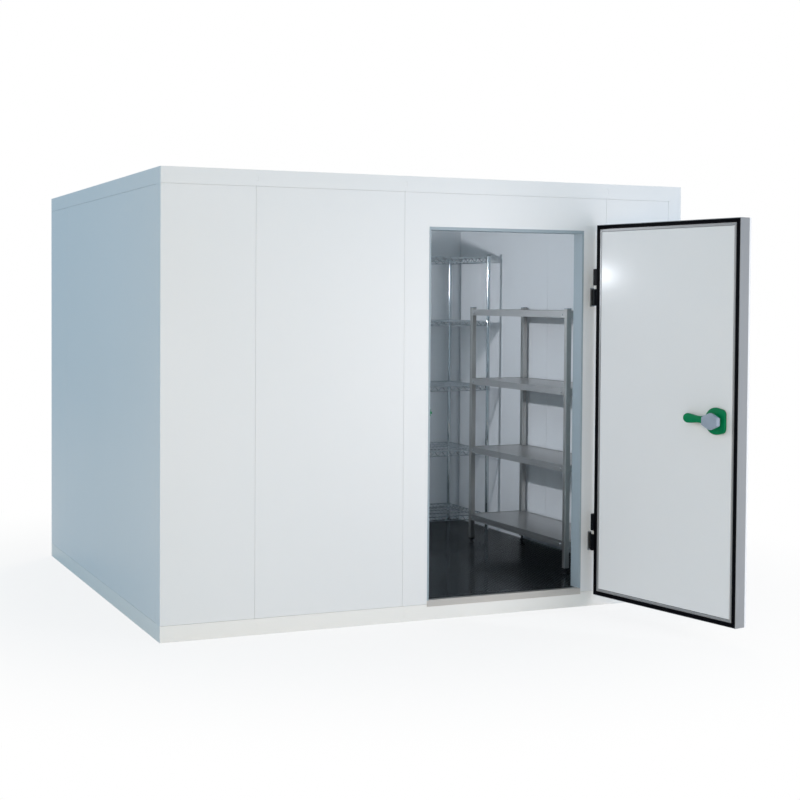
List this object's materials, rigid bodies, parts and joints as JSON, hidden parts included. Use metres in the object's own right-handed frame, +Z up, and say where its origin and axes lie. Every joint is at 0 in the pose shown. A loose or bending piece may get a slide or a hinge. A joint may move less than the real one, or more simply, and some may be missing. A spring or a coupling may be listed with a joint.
{
  "type": "walk-in cold room",
  "caption": "Modular walk-in cold room of white insulated panels, with an open hinged door, an inside release lever and two shelving racks standing in it.",
  "frame": {"origin": "centre of the rectangular base's underside", "axes": "+Z up, -Y out through the front wall with the doorway, +X to the right seen from the front"},
  "size_m": [2.96, 3.5974, 2.28],
  "materials": {
    "panel_white": "white lacquered steel skin, satin",
    "floor_surface": "dark resin-faced board with a raised anti-slip pattern",
    "frame_grey": "satin anodised",
    "sill_steel": "brushed stainless steel",
    "gasket_black": "black magnetic gasket",
    "hinge_grey": "satin",
    "hinge_black": "moulded black cover",
    "hinge_nylon": "white nylon",
    "release_green": "green moulded plastic",
    "release_grey": "grey moulded plastic",
    "handle_grey": "grey lacquered metal",
    "rack_steel": "brushed stainless steel",
    "foot_black": "black levelling foot",
    "wire_chrome": "chromed wire"
  },
  "bodies": {
    "room": {"floor_panel_1": "panel_white", "floor_panel_2": "panel_white", "floor_panel_3": "panel_white", "floor_panel_4": "panel_white", "ceiling_panel_1": "panel_white", "ceiling_panel_2": "panel_white", "ceiling_panel_3": "panel_white", "ceiling_panel_4": "panel_white", "front_panel_narrow": "panel_white", "front_panel_middle": "panel_white", "door_panel_left": "panel_white", "door_panel_head": "panel_white", "door_panel_right": "panel_white", "front_panel_filler": "panel_white", "left_panel_1": "panel_white", "left_panel_2": "panel_white", "left_panel_3": "panel_white", "right_panel_1": "panel_white", "right_panel_2": "panel_white", "right_panel_3": "panel_white", "back_panel_1": "panel_white", "back_panel_2": "panel_white", "back_panel_3": "panel_white", "back_panel_4": "panel_white", "floor_deck": "floor_surface", "door_jamb_left": "frame_grey", "door_jamb_right": "frame_grey", "door_head_lining": "frame_grey", "door_sill": "sill_steel", "latch_striker": "release_green", "hinge_plates": "hinge_grey", "hinge_wall_blocks": "hinge_black", "hinge_bushes": "hinge_nylon", "tube_rack_posts": "rack_steel", "tube_rack_feet": "foot_black", "tube_rack_shelves": "rack_steel", "wire_rack_posts": "wire_chrome", "wire_rack_shelves": "wire_chrome"},
    "door_leaf": {"leaf_panel": "panel_white", "leaf_edge_profile": "frame_grey", "leaf_gasket": "gasket_black", "hinge_leaf_blocks": "hinge_black", "release_base": "release_green", "outside_handle": "handle_grey"},
    "release_handle": {"release_lever": "release_green", "release_hub": "release_grey"}
  },
  "joints": [
    {"name": "door_swing", "type": "hinge", "parent": "room", "child": "door_leaf", "pos_m": [0.9175, -1.325, 1], "axis": [0, 0, 1], "range_deg": [-101.2, 72]},
    {"name": "release_turn", "type": "hinge", "parent": "door_leaf", "child": "release_handle", "pos_m": [1.05361, -2.19004, 1.07], "axis": [-0.981, -0.1942, 0], "range_deg": [0, 40], "stiffness_Nm_per_rad": 2, "springref_deg": -28.65}
  ]
}
